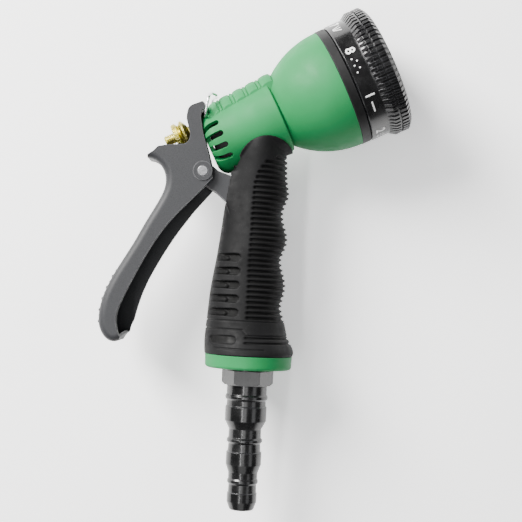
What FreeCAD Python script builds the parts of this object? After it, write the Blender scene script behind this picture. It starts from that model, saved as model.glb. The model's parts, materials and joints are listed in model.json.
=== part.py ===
"""Hose spray nozzle with a rear trigger, a turning spray dial and a barbed tail.

The nozzle lies on its side. Y runs up the handle from the tip of the hose barb, X points to the
side the head leans to, and Z stands up out of the surface it lies on. The shells are symmetric
about the plane Z = 0; the trigger's open rim is cut on a slant and differs between its two sides.
Everything in the head is drawn in the head's own frame: local x along the spray axis from the
barrel's rear ring, local y square to it on the thumb's side.
"""
import FreeCAD, Part
import math
import os

import Sketcher

Vector = FreeCAD.Vector
Placement = FreeCAD.Placement
Rotation = FreeCAD.Rotation
X_AXIS, Y_AXIS, Z_AXIS = Vector(1, 0, 0), Vector(0, 1, 0), Vector(0, 0, 1)

DIMENSIONS = {
    # head frame
    "head_x": -19.8, "head_y": 182.0, "head_tilt": 27.1,
    # green barrel
    "wall": 2.2, "barrel_back": -5.5, "barrel_ring": 0.0, "barrel_front": 33.0,
    "barrel_back_radius": 10.3, "barrel_ring_radius": 16.3, "barrel_front_radius": 18.7,
    "louvre_width": 2.9, "louvre_front": 2.4, "louvre_step": 21.0, "louvre_first": -35.0,
    "louvre_back": 9.0, "louvre_floor": 9.8, "louvre_depth": 12.0, "web_thickness": 3.0,
    # thumb strip on the barrel
    "strip_axis": 5.7, "strip_half_width": 12.0, "strip_back": -1.3, "strip_end": 36.6,
    "strip_back_radius": 9.4, "strip_shoulder": 5.3, "strip_shoulder_radius": 13.9,
    "strip_end_radius": 15.5, "pad_pitch": 7.2, "pad_rise": 0.4, "groove_first": 6.6,
    "groove_width": 0.9, "groove_gap": 1.7, "groove_depth": 0.65,
    # green bulb
    "bulb_neck": 27.0, "bulb_neck_radius": 15.9, "bulb_start_radius": 16.3, "bulb_front": 65.0,
    "bulb_front_radius": 29.8, "bulb_arc": 45.8, "bulb_spigot_radius": 27.4, "bulb_spigot": 67.5,
    # fixed collar and turning dial
    "collar_front": 69.9, "collar_radius": 30.0, "collar_plate": 2.2, "collar_bore": 20.4,
    "dial_back": 70.2, "dial_band_end": 78.6, "dial_band_radius": 30.3, "flange_back": 82.4,
    "flange_radius": 31.6, "flange_front": 89.2, "dial_front": 91.5, "dial_lip_radius": 29.5,
    "dial_bore": 26.4, "dial_mouth_radius": 27.6, "tooth_count": 72, "tooth_height": 0.9,
    # face with the spray patterns
    "face_back": 72.9, "face_front": 88.3, "face_radius": 26.35, "port_circle": 16.0,
    "port_radius": 3.3, "chamber_radius": 5.3, "face_skin": 2.3, "rim_back": 70.6,
    "rim_inner": 20.6, "rim_outer": 24.6, "pattern_count": 8, "click_circle": 22.5,
    "click_travel": 1.1,
    # fixed spray core
    "core_front": 71.5, "core_flange_back": 64.6, "core_radius": 20.0, "core_spigot": 58.0,
    "core_spigot_radius": 11.0, "core_post": 3.6,
    # valve
    "stem_height": 11.2, "stem_radius": 2.0, "tube_radius": 5.7, "tube_bore": 4.2,
    "tube_back": -3.0, "seat": 33.0, "seat_bore": 2.9, "chamber_back": 35.5, "chamber_bore": 11.2,
    "chamber_wall": 2.0, "chamber_front": 61.5, "gland_front": 2.6,
    "thread_radius": 2.7, "stem_tip": -24.2, "nut_back": -19.0, "nut_front": -11.4,
    "nut_radius": 6.6, "knurl_count": 24,
    # handle
    "pipe_radius": 8.0, "pipe_bore": 5.5, "pipe_foot": 71.6, "socket_radius": 9.4,
    "socket_bore": 7.0, "socket_top": 92.0, "sleeve_gap": 0.15,
    "base_low": 70.4, "base_high": 77.0, "base_radius": 21.5,
    # hose tail
    "tail_flat": 11.1, "hex_low": 62.1, "hex_high": 69.3, "tail_bore": 4.3, "spigot_top": 80.0,
    # trigger and its pivot, measured in the head frame
    "pivot_along": -13.0, "pivot_across": -10.8, "pin_radius": 2.65, "pin_half": 13.9,
    "trigger_half": 13.0, "trigger_wall": 2.0, "boss_radius": 4.7, "boss_height": 0.6,
    "lug_half": 9.6, "lug_radius": 5.2, "running_gap": 0.07,
    # hold-open clip
    "clip_along": -0.9, "clip_across": 13.1, "clip_half": 13.9, "wire_radius": 0.65,
    "clip_bend": 2.8,
}


class Size:
    """A number together with the sheet expression it comes from."""

    def __init__(self, value, text):
        self.value, self.text = float(value), text

    def join(self, other, sign, result):
        return Size(result, "(%s %s %s)" % (self.text, sign, other.text))

    def __add__(self, other):
        other = size(other)
        return self.join(other, "+", self.value + other.value)

    def __sub__(self, other):
        other = size(other)
        return self.join(other, "-", self.value - other.value)

    def __mul__(self, other):
        other = size(other)
        return self.join(other, "*", self.value * other.value)

    def __neg__(self):
        return Size(-self.value, "(0 - %s)" % self.text)

    __radd__ = __add__

    def __rsub__(self, other):
        return size(other) - self


def size(value):
    return value if isinstance(value, Size) else Size(value, "%.4f" % value)


class Sheet:
    """The driving dimensions: one named cell each, read as attributes."""

    def __init__(self, document):
        self.cells = document.addObject("Spreadsheet::Sheet", "Dims")
        for row, (name, value) in enumerate(DIMENSIONS.items(), start=1):
            self.cells.set("A%d" % row, name)
            self.cells.set("B%d" % row, str(value))
            self.cells.setAlias("B%d" % row, name)
            setattr(self, name, Size(value, "Dims.%s" % name))


doc = FreeCAD.newDocument("SprayNozzle")
dim = Sheet(doc)
doc.recompute()
made = []


# ---------------------------------------------------------------- drawing helpers

def keep(thing, label):
    """Give a finished sub-part its name and remember it for export."""
    thing.Label = label
    made.append(thing)
    return thing


def in_head(along=0.0, across=0.0, side=0.0, turn=None):
    """Placement of something drawn at (along, across, side) in the head frame."""
    tilt = Rotation(Z_AXIS, dim.head_tilt.value)
    head = Placement(Vector(dim.head_x.value, dim.head_y.value, 0), tilt)
    return head.multiply(Placement(Vector(along, across, side), turn or Rotation()))


def bind_to_head(thing):
    """Tie a sub-part's placement to the head frame in the sheet."""
    thing.Placement = in_head()
    thing.setExpression("Placement.Base.x", dim.head_x.text)
    thing.setExpression("Placement.Base.y", dim.head_y.text)
    thing.setExpression("Placement.Rotation.Angle", dim.head_tilt.text)


def body(name, head=False):
    thing = doc.addObject("PartDesign::Body", name)
    if head:
        bind_to_head(thing)
    return thing


def origin_of(owner, role):
    return [item for item in owner.Origin.OriginFeatures if item.Role == role][0]


def sketch(owner, name, role="XY_Plane", lift=None):
    """An empty sketch on one of the body's own origin planes, lifted off it by a size."""
    drawing = owner.newObject("Sketcher::SketchObject", name)
    drawing.AttachmentSupport = [(origin_of(owner, role), "")]
    drawing.MapMode = "FlatFace"
    if lift is not None:
        lift = size(lift)
        drawing.AttachmentOffset = Placement(Vector(0, 0, lift.value), Rotation())
        drawing.setExpression("AttachmentOffset.Base.z", lift.text)
    return drawing


def constrain(drawing, kind, target, value):
    index = drawing.addConstraint(Sketcher.Constraint(kind, *target, value.value))
    if value.text != "%.4f" % value.value:
        drawing.setExpression("Constraints[%d]" % index, value.text)


def arc_middle(start, end, radius):
    """Middle of the arc from start to end; a positive radius bulges to the right of the way."""
    chord = end - start
    half = chord.Length / 2
    rise = abs(radius) - math.sqrt(max(radius * radius - half * half, 0.0))
    side = Vector(chord.y, -chord.x, 0).normalize()
    return (start + end) * 0.5 + side * (rise if radius > 0 else -rise)


def run_between(start, end, shape):
    """Line, arc of a signed radius, or smooth curve through a list of points."""
    if shape is None:
        return Part.LineSegment(start, end)
    if isinstance(shape, list):
        curve = Part.BSplineCurve()
        curve.interpolate([start] + [Vector(x, y, 0) for x, y in shape] + [end])
        return curve
    radius = size(shape).value
    bulge = arc_middle(start, end, radius)
    ends = (start, bulge, end) if radius > 0 else (end, bulge, start)
    return Part.Arc(*ends)


def outline(drawing, corners):
    """Closed outline of corners (x, y), (x, y, radius) or (x, y, points).

    The third value shapes the run that leads to the corner: an arc, or a curve through points.
    """
    first, count = drawing.GeometryCount, len(corners)
    places = [(size(corner[0]), size(corner[1])) for corner in corners]
    points = [Vector(x.value, y.value, 0) for x, y in places]
    shapes = [(corners[(i + 1) % count] + (None,))[2] for i in range(count)]
    ends = []
    for i, shape in enumerate(shapes):
        run = run_between(points[i], points[(i + 1) % count], shape)
        drawing.addGeometry(run, False)
        forward = (run.StartPoint - points[i]).Length < 1e-6
        ends.append((1, 2) if forward else (2, 1))
    for i, shape in enumerate(shapes):
        here, before, after = first + i, first + (i - 1) % count, first + (i + 1) % count
        free = isinstance(shape, list)
        if free:
            drawing.addConstraint(Sketcher.Constraint("Block", here))
            corner = (-1, 1, before, ends[i - 1][1])
        else:
            corner = (-1, 1, here, ends[i][0])
            if not isinstance(shapes[(i + 1) % count], list):
                drawing.addConstraint(Sketcher.Constraint(
                    "Coincident", here, ends[i][1], after, ends[(i + 1) % count][0]))
        constrain(drawing, "DistanceX", corner, places[i][0])
        constrain(drawing, "DistanceY", corner, places[i][1])
        if shape is not None and not free:
            radius = size(shape)
            constrain(drawing, "Radius", (here,), radius if radius.value > 0 else -radius)
    return drawing


def circle(drawing, x, y, radius):
    x, y, radius = size(x), size(y), size(radius)
    middle = Vector(x.value, y.value, 0)
    index = drawing.addGeometry(Part.Circle(middle, Z_AXIS, radius.value), False)
    constrain(drawing, "DistanceX", (-1, 1, index, 3), x)
    constrain(drawing, "DistanceY", (-1, 1, index, 3), y)
    constrain(drawing, "Radius", (index,), radius)
    return drawing


def rectangle(drawing, low_x, low_y, high_x, high_y):
    return outline(drawing, [(low_x, low_y), (high_x, low_y), (high_x, high_y), (low_x, high_y)])


def feature(owner, kind, name, drawing):
    thing = owner.newObject("PartDesign::" + kind, name)
    thing.Profile = drawing
    drawing.Visibility = False
    return thing


def revolve(owner, name, corners, kind="Revolution", axis="X_Axis", offset=None):
    """Turn an outline about the body's axis, or about a line beside it at the given offset."""
    drawing = outline(sketch(owner, name + "_outline"), corners)
    thing = feature(owner, kind, name, drawing)
    if offset is None:
        thing.ReferenceAxis = (origin_of(owner, axis), [""])
    else:
        line = drawing.addGeometry(Part.LineSegment(
            Vector(0, offset.value, 0), Vector(10, offset.value, 0)), True)
        drawing.addConstraint(Sketcher.Constraint("Horizontal", line))
        constrain(drawing, "DistanceX", (-1, 1, line, 1), size(0.0))
        constrain(drawing, "DistanceX", (-1, 1, line, 2), size(10.0))
        constrain(drawing, "DistanceY", (-1, 1, line, 1), offset)
        thing.ReferenceAxis = (drawing, ["Axis0"])
    thing.Angle = 360
    return thing


def pad(owner, name, drawing, length, kind="Pad", both=False, back=False):
    thing = feature(owner, kind, name, drawing)
    length = size(length)
    thing.Length = length.value
    thing.setExpression("Length", length.text)
    thing.Midplane = both
    thing.Reversed = back
    return thing


def polar(owner, name, features, count, angle=360.0, axis="X_Axis", back=False):
    thing = owner.newObject("PartDesign::PolarPattern", name)
    thing.Originals = features
    thing.Axis = (origin_of(owner, axis), [""])
    thing.Angle = angle
    thing.Occurrences = int(size(count).value)
    if isinstance(count, Size):
        thing.setExpression("Occurrences", count.text)
    thing.Reversed = back
    owner.Tip = thing
    return thing


def mirrored(owner, name, features, role="XY_Plane"):
    thing = owner.newObject("PartDesign::Mirrored", name)
    thing.Originals = features
    thing.MirrorPlane = (origin_of(owner, role), [""])
    owner.Tip = thing
    return thing


def fillet(owner, name, edges, radius):
    base = owner.Tip
    thing = owner.newObject("PartDesign::Fillet", name)
    thing.Base = (base, edges)
    thing.Radius = radius
    owner.Tip = thing
    return thing


def cylinder(name, radius, length, place):
    """A Part cylinder whose axis is the placement's local z."""
    thing = doc.addObject("Part::Cylinder", name)
    thing.setExpression("Radius", size(radius).text)
    thing.setExpression("Height", size(length).text)
    thing.Placement = place
    return thing


def box(name, length, width, height, place):
    thing = doc.addObject("Part::Box", name)
    thing.setExpression("Length", size(length).text)
    thing.setExpression("Width", size(width).text)
    thing.setExpression("Height", size(height).text)
    thing.Placement = place
    return thing


def fuse(name, shapes):
    thing = doc.addObject("Part::MultiFuse", name)
    thing.Shapes = shapes
    return thing


def cut(name, base, tool):
    thing = doc.addObject("Part::Cut", name)
    thing.Base, thing.Tool = base, tool
    return thing


ALONG = Rotation(Y_AXIS, 90)       # turns local z onto the spray axis
UPRIGHT = Rotation(X_AXIS, -90)    # turns local z onto the handle axis


def head_rod(name, start, end, radius, across=0.0):
    """A round rod parallel to the spray axis."""
    start, end = size(start), size(end)
    place = in_head(start.value, size(across).value, turn=ALONG)
    return cylinder(name, radius, end - start, place)


def handle_rod(name, low, high, radius):
    low, high = size(low), size(high)
    return cylinder(name, radius, high - low, Placement(Vector(0, low.value, 0), UPRIGHT))


# ---------------------------------------------------------------- handle

def inner_body():
    """Grey core: handle pipe, valve tube, outlet chamber and the lug that carries the trigger."""
    pipe_top = 200.0
    pivot = in_head(dim.pivot_along.value, dim.pivot_across.value, -dim.lug_half.value)
    chamber_outer = dim.chamber_bore + dim.chamber_wall
    solids = [
        handle_rod("pipe", dim.pipe_foot, pipe_top, dim.pipe_radius),
        handle_rod("pipe_socket", dim.pipe_foot, dim.socket_top, dim.socket_radius),
        head_rod("valve_tube", dim.tube_back, dim.chamber_back + 1.0, dim.tube_radius,
                 dim.stem_height),
        head_rod("outlet_chamber", dim.chamber_back - 2.2, dim.chamber_front, chamber_outer),
        head_rod("outlet_flange", dim.chamber_front, dim.core_flange_back - 0.1, 19.0),
        cylinder("lug_eye", dim.lug_radius, dim.lug_half * 2, pivot),
        lug_plate(),
        tail_web(),
    ]
    bores = [
        handle_rod("pipe_bore_tool", dim.pipe_foot - 1, pipe_top - 2, dim.pipe_bore),
        handle_rod("socket_bore_tool", dim.pipe_foot - 1, dim.spigot_top + 1.4, dim.socket_bore),
        head_rod("tube_bore_tool", dim.tube_back - 1, dim.seat, dim.tube_bore, dim.stem_height),
        head_rod("seat_bore_tool", dim.seat - 1, dim.chamber_back + 2, dim.seat_bore,
                 dim.stem_height),
        head_rod("chamber_bore_tool", dim.chamber_back, dim.core_flange_back + 1,
                 dim.chamber_bore),
        cylinder("lug_bore_tool", dim.pin_radius + 0.02, dim.lug_half * 2 + 2,
                 pivot.multiply(Placement(Vector(0, 0, -1), Rotation()))),
    ]
    whole = cut("inner_body", fuse("inner_solids", solids), fuse("inner_bores", bores))
    return keep(whole, "inner_body")


def lug_plate():
    """Arm of the trigger bracket, from the handle pipe out to the pivot eye."""
    arm = body("lug_arm")
    drawing = outline(sketch(arm, "lug_outline"), [
        (-24.2, 171.1), (-18.8, 167.0), (-6.0, 162.8), (-6.0, 148.0), (-14.5, 152.2),
        (-20.0, 156.8), (-27.6, 161.3)])
    pad(arm, "lug_pad", drawing, dim.lug_half * 2, both=True)
    return arm


def tail_web():
    """Stiffening web in the barrel's tail, from the valve tube down beside the handle pipe."""
    web = body("tail_web", head=True)
    drawing = outline(sketch(web, "web_outline"), [
        (-3.0, -8.2), (1.0, -12.2), (17.0, -13.4), (17.0, 6.5), (-1.2, 6.5), (-3.0, 5.9)])
    pad(web, "web_pad", drawing, dim.web_thickness, both=True)
    return web


def grip_sections():
    """Oval sections of the rubber grip: height, left edge, right edge, half depth."""
    return [
        (77.1, -22.0, 21.6, 21.7), (84.0, -22.4, 20.2, 19.6), (90.0, -22.1, 17.9, 17.6),
        (98.0, -21.5, 15.8, 16.4), (104.0, -21.1, 15.4, 15.9), (111.0, -20.4, 16.7, 15.8),
        (118.5, -19.3, 15.3, 15.6), (126.0, -18.2, 14.2, 15.2), (137.0, -16.9, 16.4, 15.0),
        (145.5, -16.0, 14.0, 14.8), (153.0, -15.1, 15.2, 14.8), (160.0, -14.0, 16.1, 15.4),
        (168.0, -12.8, 15.0, 16.6), (175.0, -11.8, 14.5, 17.6), (186.5, -10.2, 17.2, 17.6)]


def grip_sleeve():
    """Soft grip: an oval loft, trimmed to a round saddle that cradles the barrel."""
    ovals = []
    for index, (height, left, right, depth) in enumerate(grip_sections()):
        oval = doc.addObject("Part::Ellipse", "grip_oval_%d" % index)
        wide, deep = (right - left) / 2, depth
        long_way = wide >= deep
        oval.MajorRadius, oval.MinorRadius = max(wide, deep), min(wide, deep)
        turn = UPRIGHT if long_way else UPRIGHT.multiply(Rotation(Z_AXIS, 90))
        oval.Placement = Placement(Vector((left + right) / 2, height, 0), turn)
        ovals.append(oval)
    loft = doc.addObject("Part::Loft", "grip_loft")
    loft.Sections, loft.Solid, loft.Ruled = ovals, True, False
    saddle = body("grip_saddle")
    crest_x, crest_y, crest = 5.2, 170.0, 14.9
    drawing = outline(sketch(saddle, "saddle_outline"), [
        (crest_x - crest, crest_y, crest), (crest_x - 40, crest_y), (crest_x - 40, 70.0),
        (crest_x + 40, 70.0), (crest_x + 40, crest_y), (crest_x + crest, crest_y),
        (crest_x, crest_y + crest, crest)])
    pad(saddle, "saddle_pad", drawing, 60, both=True)
    trimmed = doc.addObject("Part::Common", "grip_trimmed")
    trimmed.Base = fuse("grip_solids", [loft, grip_shoulder(), grip_cheeks()])
    trimmed.Tool = saddle
    hollow = fuse("grip_hollow", [
        barrel_room(), lug_room(),
        handle_rod("grip_socket_room", 70, dim.socket_top + 0.3,
                   dim.socket_radius + dim.sleeve_gap),
        handle_rod("grip_pipe_room", 70, 200, dim.pipe_radius + dim.sleeve_gap)])
    return keep(cut("grip_sleeve", trimmed, hollow), "grip_sleeve")


def grip_shoulder():
    """Squarer stretch of the grip that covers the root of the trigger bracket."""
    block = body("shoulder")
    drawing = outline(sketch(block, "shoulder_outline"), [
        (-10.5, 141.0), (-14.9, 152.5), (-13.8, 159.5), (-12.6, 167.3), (-4.0, 170.0),
        (-4.0, 141.0)])
    pad(block, "shoulder_pad", drawing, dim.lug_half * 2 + 2.0, both=True)
    return block


def grip_cheeks():
    """Thin skin round the lower half of the barrel, which the saddle is trimmed from."""
    skin = body("cheek_skin", head=True)
    revolve(skin, "cheek_turn", [
        (1.5, 0.0), (1.5, dim.barrel_ring_radius + 1.3), (32.6, dim.barrel_front_radius + 1.5),
        (32.6, 0.0)])
    lower = box("cheek_half", 60, 40, 60, in_head(-10, -40.5, -30))
    cheeks = doc.addObject("Part::Common", "grip_cheeks")
    cheeks.Base, cheeks.Tool = skin, lower
    return cheeks


def barrel_room():
    """The barrel's outside, a little larger, for cutting a seat in the grip."""
    room = body("barrel_room", head=True)
    revolve(room, "barrel_room_turn", [
        (-12.0, 0.0), (-12.0, dim.barrel_ring_radius + 0.2),
        (dim.barrel_ring, dim.barrel_ring_radius + 0.2),
        (dim.barrel_front + 0.2, dim.barrel_front_radius + 0.2),
        (dim.barrel_front + 0.2, dim.bulb_start_radius + 1.0), (45.0, 27.0), (45.0, 0.0)])
    return room


def lug_room():
    """Slot in the grip where the trigger bracket comes out."""
    room = body("lug_room")
    drawing = outline(sketch(room, "lug_room_outline"), [
        (-24.2, 171.5), (-18.7, 167.2), (-5.0, 163.2), (-5.0, 147.4), (-14.6, 151.9),
        (-20.2, 156.5), (-27.6, 161.0)])
    pad(room, "lug_room_pad", drawing, dim.lug_half * 2 + 0.4, both=True)
    return room


def base_collar():
    """Green ring that closes the foot of the grip."""
    ring = body("base_ring")
    radius = dim.base_radius
    bore = dim.socket_radius + dim.sleeve_gap
    revolve(ring, "base_turn", [
        (bore, dim.base_low), (radius - 1.6, dim.base_low), (radius, dim.base_low + 1.6, 1.6),
        (radius + 0.2, dim.base_high), (bore, dim.base_high)], axis="Y_Axis")
    return keep(ring, "base_collar")


def hose_barb():
    """Hexagon and three stepped barbs in one moulding, with a spigot up into the handle."""
    tail = body("tail")
    revolve(tail, "tail_turn", [
        (dim.tail_bore, 0.0), (5.8, 0.0), (6.2, 0.5), (7.45, 4.0), (7.45, 8.4), (7.1, 8.7),
        (7.0, 12.6), (7.7, 13.6), (7.7, 14.8), (7.3, 15.6), (7.4, 18.6), (8.85, 22.6),
        (8.85, 28.7), (8.3, 29.1), (8.0, 33.0), (8.9, 34.0), (8.9, 35.1), (8.2, 36.0),
        (8.1, 40.2), (10.35, 44.4), (10.35, 51.3), (9.8, 51.8), (9.7, 54.4), (10.6, 55.4),
        (10.6, 56.6), (10.0, 57.6), (10.0, dim.hex_low + 2),
        (10.5, dim.hex_high + 0.9), (6.9, dim.hex_high + 0.9), (6.9, dim.spigot_top),
        (dim.tail_bore + 0.9, dim.spigot_top), (dim.tail_bore + 0.9, 60.0),
        (dim.tail_bore, 50.0)], axis="Y_Axis")
    hexagon = sketch(tail, "hexagon", "XZ_Plane", lift=-dim.hex_high)
    corner = dim.tail_flat.value / math.cos(math.radians(30))
    outline(hexagon, [(corner * math.cos(math.radians(60 * k)),
                       corner * math.sin(math.radians(60 * k))) for k in range(6)])
    inner = circle(hexagon, 0, 0, 7.5)
    pad(tail, "hexagon_pad", inner, dim.hex_high - dim.hex_low)
    revolve(tail, "hexagon_chamfer", [
        (9.6, dim.hex_low - 0.4), (corner - 1.3, dim.hex_low - 0.01),
        (corner + 0.3, dim.hex_low + 1.5), (corner + 2, dim.hex_low + 1.5),
        (corner + 2, dim.hex_low - 0.4)], kind="Groove", axis="Y_Axis")
    return keep(tail, "hose_barb")


def inlet_parts():
    """Flat washer that seals the tail, and the strainer disc above its spigot."""
    washer = body("washer")
    revolve(washer, "washer_turn", [
        (7.0, dim.hex_high + 0.95), (9.3, dim.hex_high + 0.95), (9.3, dim.pipe_foot - 0.05),
        (7.0, dim.pipe_foot - 0.05)], axis="Y_Axis")
    keep(washer, "inlet_washer")
    disc = body("strainer")
    drawing = circle(sketch(disc, "strainer_edge", "XZ_Plane", lift=-dim.spigot_top - 0.1), 0, 0,
                     6.85)
    pad(disc, "strainer_pad", drawing, 1.0, back=True)
    mesh = sketch(disc, "strainer_hole", "XZ_Plane", lift=-dim.spigot_top - 0.1)
    circle(mesh, 0, 0, 0.6)
    pad(disc, "strainer_centre", mesh, 20, kind="Pocket", both=True)
    for ring, holes in ((1.9, 6), (3.8, 12), (5.4, 18)):
        drawing = sketch(disc, "strainer_ring_%d" % holes, "XZ_Plane",
                         lift=-dim.spigot_top - 0.1)
        hole = pad(disc, "strainer_hole_%d" % holes, circle(drawing, ring, 0, 0.6), 20,
                   kind="Pocket", both=True)
        polar(disc, "strainer_pattern_%d" % holes, [hole], holes, axis="Y_Axis")
    keep(disc, "inlet_screen")


# ---------------------------------------------------------------- green head shells

def rear_housing():
    """Barrel with louvres round its tail and a ribbed thumb strip over the valve tube."""
    shell = body("barrel", head=True)
    shoulder = dim.barrel_ring_radius - dim.barrel_back_radius
    revolve(shell, "barrel_turn", [
        (dim.barrel_back, 0.0), (dim.barrel_back, dim.barrel_back_radius),
        (dim.barrel_ring, dim.barrel_ring_radius, -shoulder),
        (dim.barrel_front - 0.6, dim.barrel_front_radius),
        (dim.barrel_front, dim.barrel_front_radius - 0.6),
        (dim.barrel_front, 0.0)])
    strip = body("thumb_strip", head=True)
    axis = dim.strip_axis
    half = dim.groove_width * 0.5
    corners = [
        (dim.strip_back, axis), (dim.strip_back, axis + dim.strip_back_radius - 1.0),
        (dim.strip_shoulder, axis + dim.strip_shoulder_radius, -9.0)]
    crown = None
    for pad_number in range(4):
        start = dim.groove_first + dim.pad_pitch * pad_number
        top = axis + dim.strip_shoulder_radius + dim.pad_rise * pad_number
        for groove in (start, start + dim.groove_gap):
            corners += [(groove - half, top, crown), (groove, top - dim.groove_depth),
                        (groove + half, top)]
            crown = None
        crown = -9.0
    corners += [
        (dim.strip_end - 0.8, axis + dim.strip_end_radius, crown),
        (dim.strip_end, axis + dim.strip_end_radius - 0.8), (dim.strip_end, axis)]
    revolve(strip, "strip_turn", corners, offset=axis)
    width = dim.strip_half_width
    band = box("strip_band", 60, 20, width * 2, in_head(-8, 11.0, -width.value))
    pad_shape = doc.addObject("Part::Common", "strip_trimmed")
    pad_shape.Base, pad_shape.Tool = strip, band
    outside = fuse("barrel_outside", [shell, pad_shape])
    inside = body("barrel_inside", head=True)
    revolve(inside, "barrel_inside_turn", [
        (dim.barrel_back + dim.wall, 0.0), (dim.barrel_back + dim.wall, 9.0),
        (dim.barrel_ring, dim.barrel_ring_radius - dim.wall, -5.2),
        (dim.barrel_front + 6, dim.barrel_front_radius - dim.wall),
        (dim.barrel_front + 6, 0.0)])
    hollow = fuse("barrel_hollow", [
        inside, louvres(),
        head_rod("tube_tunnel", -10, 45, dim.tube_radius + 0.25, dim.stem_height),
        cylinder("clip_tunnel", dim.wire_radius + 0.08, 30,
                 in_head(dim.clip_along.value, dim.clip_across.value, -15.0)),
        handle_mouth(), bulb_room()])
    return keep(cut("rear_housing", outside, hollow), "rear_housing")


def louvres():
    """Row of round-ended slots round each side of the barrel's tail."""
    slots = []
    half = dim.louvre_width * 0.5
    for side in (0, 1):
        for step in range(4):
            angle = dim.louvre_first.value + dim.louvre_step.value * step
            turn = in_head(turn=Rotation(X_AXIS, -angle if side == 0 else 180 + angle))
            floor = dim.louvre_floor.value
            start = Placement(Vector(-dim.louvre_back.value, -half.value, floor), Rotation())
            end = Placement(Vector(dim.louvre_front.value, 0, floor), Rotation())
            name = "%d_%d" % (side, step)
            slots.append(box("louvre_" + name, dim.louvre_front + dim.louvre_back,
                             dim.louvre_width, dim.louvre_depth, turn.multiply(start)))
            slots.append(cylinder("louvre_end_" + name, half, dim.louvre_depth,
                                  turn.multiply(end)))
    return fuse("louvre_slots", slots)


def handle_mouth():
    """Hole under the barrel for the handle pipe."""
    return handle_rod("handle_mouth", 150, 196, dim.pipe_radius + 0.3)


def bulb_room():
    """Socket in the barrel's front for the neck of the bulb."""
    room = body("bulb_room", head=True)
    revolve(room, "bulb_room_turn", [
        (dim.bulb_neck - 0.2, 0.0), (dim.bulb_neck - 0.2, dim.bulb_start_radius + 0.05),
        (dim.barrel_front, dim.bulb_start_radius + 0.08),
        (dim.bulb_front, dim.bulb_front_radius + 0.08, -dim.bulb_arc), (dim.bulb_front, 0.0)])
    return room


def front_housing():
    """Round bulb between the barrel and the collar."""
    shell = body("bulb", head=True)
    thin = dim.bulb_neck_radius - dim.wall
    revolve(shell, "bulb_turn", [
        (dim.bulb_neck, thin), (dim.bulb_neck, dim.bulb_neck_radius),
        (dim.barrel_front - 2.0, dim.bulb_start_radius - 0.15),
        (dim.barrel_front, dim.bulb_start_radius + 0.0),
        (dim.bulb_front, dim.bulb_front_radius, -dim.bulb_arc),
        (dim.bulb_front, dim.bulb_spigot_radius), (dim.bulb_spigot, dim.bulb_spigot_radius),
        (dim.bulb_spigot, dim.bulb_spigot_radius - dim.wall),
        (dim.bulb_front, dim.bulb_spigot_radius - dim.wall),
        (dim.barrel_front + 1.0, thin, dim.bulb_arc)])
    tunnel = head_rod("bulb_tunnel", 20, 40, dim.tube_radius + 0.25, dim.stem_height)
    return keep(cut("front_housing", shell, tunnel), "front_housing")


# ---------------------------------------------------------------- valve train

def valve_parts():
    """Everything that lies on the valve stem's axis."""
    height = dim.stem_height
    stem = body("stem", head=True)
    tip, thread = dim.stem_tip, dim.thread_radius
    outer = height + dim.stem_radius
    teeth = [(tip, height), (tip, height + thread - 0.7), (tip + 0.7, height + thread)]
    pitch, first = 1.0, tip.value + 1.2
    for turn in range(12):
        here = first + pitch * turn
        teeth += [(here, height + thread), (here + 0.35, height + thread - 0.45),
                  (here + 0.7, height + thread)]
    end = first + pitch * 12
    teeth += [(end, height + thread), (end + 0.5, outer), (30.6, outer), (31.0, outer - 0.4),
              (31.0, height)]
    revolve(stem, "stem_turn", teeth, offset=height)
    keep(stem, "valve_stem")

    def ring(name, label, corners):
        part = body(name, head=True)
        revolve(part, name + "_turn", [(x, height + y) for x, y in corners], offset=height)
        return keep(part, label)

    bore = dim.stem_radius + 0.02
    ring("plug", "valve_plug", [
        (28.2, bore), (28.2, 3.5), (31.2, 3.9), (32.9, 3.2), (32.9, 0.0), (31.02, 0.0),
        (31.02, bore)])
    ring("backing", "plug_backing", [
        (26.6, bore), (26.6, 3.7), (28.15, 3.7), (28.15, bore)])
    ring("spring_seat", "spring_seat", [
        (5.6, 2.25), (5.6, 4.0), (6.4, 4.0), (6.4, 2.25)])
    gland = ring("gland", "gland_nut", [
        (-6.4, 2.08), (-6.4, 4.6), (-6.0, 5.0), (-3.4, 5.0), (-3.1, 4.7), (-3.1, 4.15),
        (dim.gland_front, 4.15), (dim.gland_front, 2.08)])
    notch = sketch(gland, "gland_flat", "XY_Plane", lift=4.6)
    rectangle(notch, -8.0, height - 7, -3.1, height + 7)
    pocket = pad(gland, "gland_flat_cut", notch, 10, kind="Pocket", back=True)
    mirrored(gland, "gland_flats", [pocket])
    seal = doc.addObject("Part::Torus", "stem_seal")
    seal.Radius1, seal.Radius2 = 3.1, 0.85
    seal.Placement = in_head(4.1, height.value, 0, ALONG)
    keep(seal, "stem_seal")


def return_spring():
    """Closing spring round the stem, between the spring seat and the plug's backing ring."""
    turns, wire, radius = 8, 0.45, 3.2
    start, end = 6.9, 26.1
    helix = Part.makeHelix((end - start) / turns, end - start, radius)
    section = Part.Wire(Part.Circle(Vector(radius, 0, 0), Y_AXIS, wire).toShape())
    coil = Part.Wire(helix.Edges).makePipeShell([section], True, True)
    spring = doc.addObject("Part::Feature", "spring")
    spring.Shape = coil
    spring.Placement = in_head(start, dim.stem_height.value, 0, ALONG)
    return keep(spring, "return_spring")


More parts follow.
